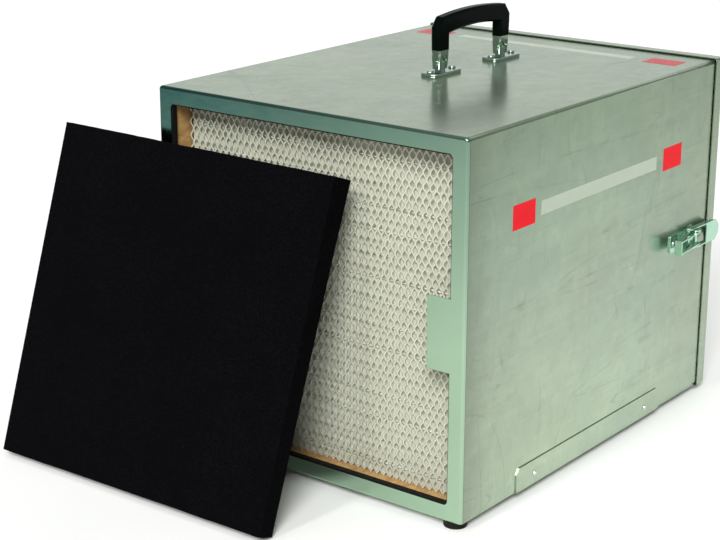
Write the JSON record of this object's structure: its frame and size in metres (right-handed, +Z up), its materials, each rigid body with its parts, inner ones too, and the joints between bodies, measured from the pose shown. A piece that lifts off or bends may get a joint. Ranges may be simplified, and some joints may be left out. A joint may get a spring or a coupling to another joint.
{
  "type": "portable fume extractor",
  "caption": "Portable sheet-steel box with a foam prefilter, pleated filter cassette, latched rear cover and fan; draws fume in at the front and blows it out through a rear spigot.",
  "frame": {"origin": "on the floor, midway between the side walls and midway between the front face and the rear cover's face", "axes": "+X to the right side seen from the front, +Y from the front to the rear, +Z up"},
  "size_m": [0.539, 0.7262, 0.477],
  "materials": {
    "galvanised": "spangled zinc, satin",
    "front_zinc": "smooth zinc, glossy",
    "zinc_plated": "satin",
    "fasteners": "satin",
    "latch_zinc": "bright zinc plate",
    "chrome": "polished",
    "grip_plastic": "smooth black",
    "rubber": "matte black",
    "fibreboard": "sawn fibreboard",
    "guard_mesh": "white coated",
    "filter_paper": "glass paper",
    "foam": "open-cell foam",
    "motor_aluminium": "cast",
    "shaft_steel": "ground",
    "guard_wire": "plated wire",
    "black_plastic": "moulded",
    "rocker_plastic": "moulded",
    "cable_jacket": "smooth"
  },
  "bodies": {
    "housing": {"housing_wrap": "galvanised", "base_pan": "galvanised", "rear_cover": "galvanised", "front_frame": "front_zinc", "cover_rim": "zinc_plated", "fan_plate": "zinc_plated", "inlet_ring": "zinc_plated", "cassette_clamps": "zinc_plated", "motor_plate": "zinc_plated", "outlet_spigot": "zinc_plated", "spigot_flange": "zinc_plated", "inlet_ring_screws": "fasteners", "clamp_screws": "fasteners", "standoffs": "fasteners", "standoff_bolts": "fasteners", "spigot_rivets": "fasteners", "inlet_screws": "fasteners", "lap_rivets": "fasteners", "foot_screws": "fasteners", "latch_rivets": "fasteners", "latch_base_right": "latch_zinc", "latch_base_left": "latch_zinc", "latch_keeper_right": "latch_zinc", "latch_keeper_left": "latch_zinc", "latch_pivot_pins": "latch_zinc", "handle_foot_plates": "chrome", "handle_pins": "chrome", "handle_screws": "chrome", "rubber_feet": "rubber", "front_gasket": "rubber", "cover_gasket": "rubber", "fan_plate_seal": "rubber", "cassette_side_boards": "fibreboard", "cassette_end_boards": "fibreboard", "cassette_guard_front": "guard_mesh", "cassette_guard_rear": "guard_mesh", "filter_medium": "filter_paper", "motor_stator": "motor_aluminium", "capacitor": "motor_aluminium", "motor_bearings": "shaft_steel", "outlet_guard": "guard_wire", "power_inlet": "black_plastic", "switch_body": "black_plastic", "capacitor_clip": "black_plastic", "motor_cable": "cable_jacket"},
    "impeller": {"impeller_shroud": "zinc_plated", "impeller_back_plate": "zinc_plated", "impeller_blades": "zinc_plated", "motor_rotor": "motor_aluminium", "motor_shaft": "shaft_steel"},
    "prefilter": {"prefilter_pad": "foam"},
    "handle": {"handle_grip": "grip_plastic", "handle_ferrules": "chrome"},
    "rocker": {"switch_rocker": "rocker_plastic"},
    "lever_right": {"latch_lever_right": "latch_zinc", "latch_link_pin_right": "latch_zinc"},
    "claw_right": {"latch_claw_right": "latch_zinc"},
    "lever_left": {"latch_lever_left": "latch_zinc", "latch_link_pin_left": "latch_zinc"},
    "claw_left": {"latch_claw_left": "latch_zinc"}
  },
  "joints": [
    {"name": "impeller_spin", "type": "hinge", "parent": "housing", "child": "impeller", "pos_m": [0, 0, 0.209], "axis": [0, 1, 0], "continuous": true},
    {"name": "handle_fold", "type": "hinge", "parent": "housing", "child": "handle", "pos_m": [0, 0.0375, 0.4225], "axis": [0, 1, 0], "range_deg": [-85, 85]},
    {"name": "prefilter_lift_away", "type": "slide", "parent": "housing", "child": "prefilter", "axis": [0, -1, 0], "range_m": [0, 0.3]},
    {"name": "switch_rock", "type": "hinge", "parent": "housing", "child": "rocker", "pos_m": [0.125, 0.257, 0.274], "axis": [1, 0, 0], "range_deg": [0, 20]},
    {"name": "latch_right_lever", "type": "hinge", "parent": "housing", "child": "lever_right", "pos_m": [0.2105, 0.2005, 0.2075], "axis": [0, 0, 1], "range_deg": [0, 120]},
    {"name": "latch_right_claw", "type": "hinge", "parent": "lever_right", "child": "claw_right", "pos_m": [0.208, 0.1875, 0.2075], "axis": [0, 0, 1], "range_deg": [-138, 0]},
    {"name": "latch_left_lever", "type": "hinge", "parent": "housing", "child": "lever_left", "pos_m": [-0.2105, 0.2005, 0.2075], "axis": [0, 0, -1], "range_deg": [0, 120]},
    {"name": "latch_left_claw", "type": "hinge", "parent": "lever_left", "child": "claw_left", "pos_m": [-0.208, 0.1875, 0.2075], "axis": [0, 0, -1], "range_deg": [-138, 0]}
  ],
  "couplings": [
    {"joint": "latch_right_claw", "follows": "latch_right_lever", "ratio": -1.15},
    {"joint": "latch_left_claw", "follows": "latch_left_lever", "ratio": -1.15}
  ]
}
